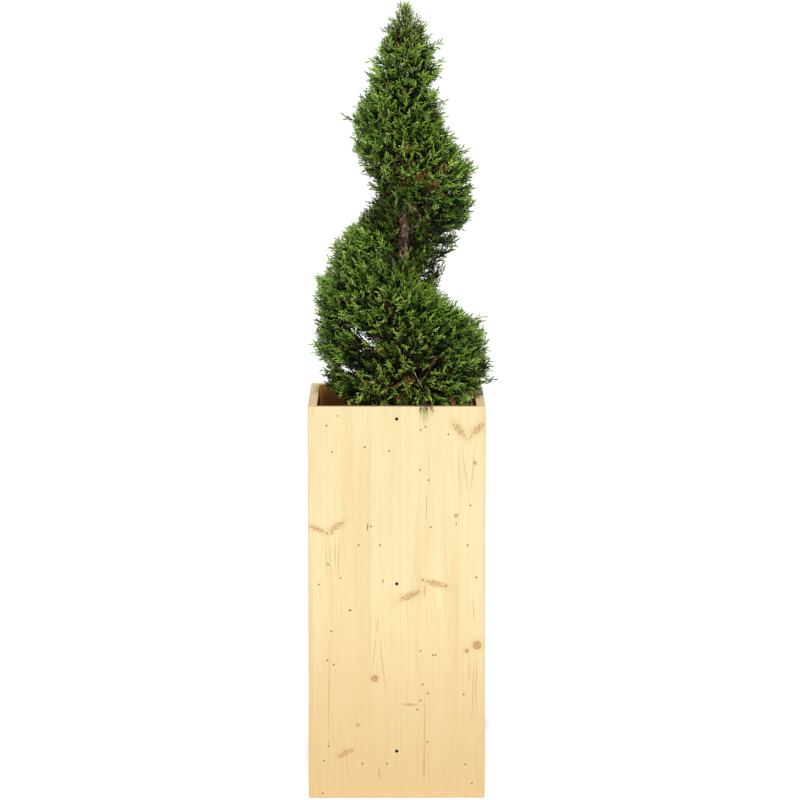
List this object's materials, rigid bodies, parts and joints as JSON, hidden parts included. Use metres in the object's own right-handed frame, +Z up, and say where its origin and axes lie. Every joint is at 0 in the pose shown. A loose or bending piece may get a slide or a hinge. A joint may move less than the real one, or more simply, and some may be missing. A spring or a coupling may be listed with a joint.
{
  "type": "spiral juniper topiary in a wooden planter",
  "caption": "Evergreen juniper clipped into a rising spiral round its trunk, growing in a tall square planter of pale spruce boards.",
  "frame": {"origin": "centre of the planter's flat underside, on the ground", "axes": "+Z up along the planter and the trunk; -Y is the planter's front board; +X is to the right seen from the front"},
  "size_m": [0.4153, 0.4044, 1.797],
  "materials": {
    "spruce": "satin",
    "screw_black": "satin",
    "soil": "matte",
    "bark": "matte",
    "foliage": "matte"
  },
  "bodies": {
    "root": {"front_board": "spruce", "back_board": "spruce", "left_board": "spruce", "right_board": "spruce", "floor_board": "spruce", "inner_shelf": "spruce", "front_batten": "spruce", "screw_1": "screw_black", "screw_2": "screw_black", "screw_3": "screw_black", "root_ball": "soil", "trunk": "bark", "bough_front_right": "bark", "bough_front_left": "bark", "bough_front": "bark", "bough_foot_front": "bark", "bough_foot_left": "bark", "bough_foot_back_left": "bark", "bough_foot_back_right": "bark", "bough_foot_right": "bark", "foliage_01_left": "foliage", "foliage_02_back": "foliage", "foliage_03_right": "foliage", "foliage_04_front": "foliage", "foliage_05_left": "foliage", "foliage_06_back": "foliage", "foliage_07_right": "foliage", "foliage_08_front": "foliage", "foliage_09_left": "foliage", "foliage_10_back": "foliage", "foliage_11_right": "foliage", "foliage_12_tip": "foliage"}
  },
  "joints": []
}
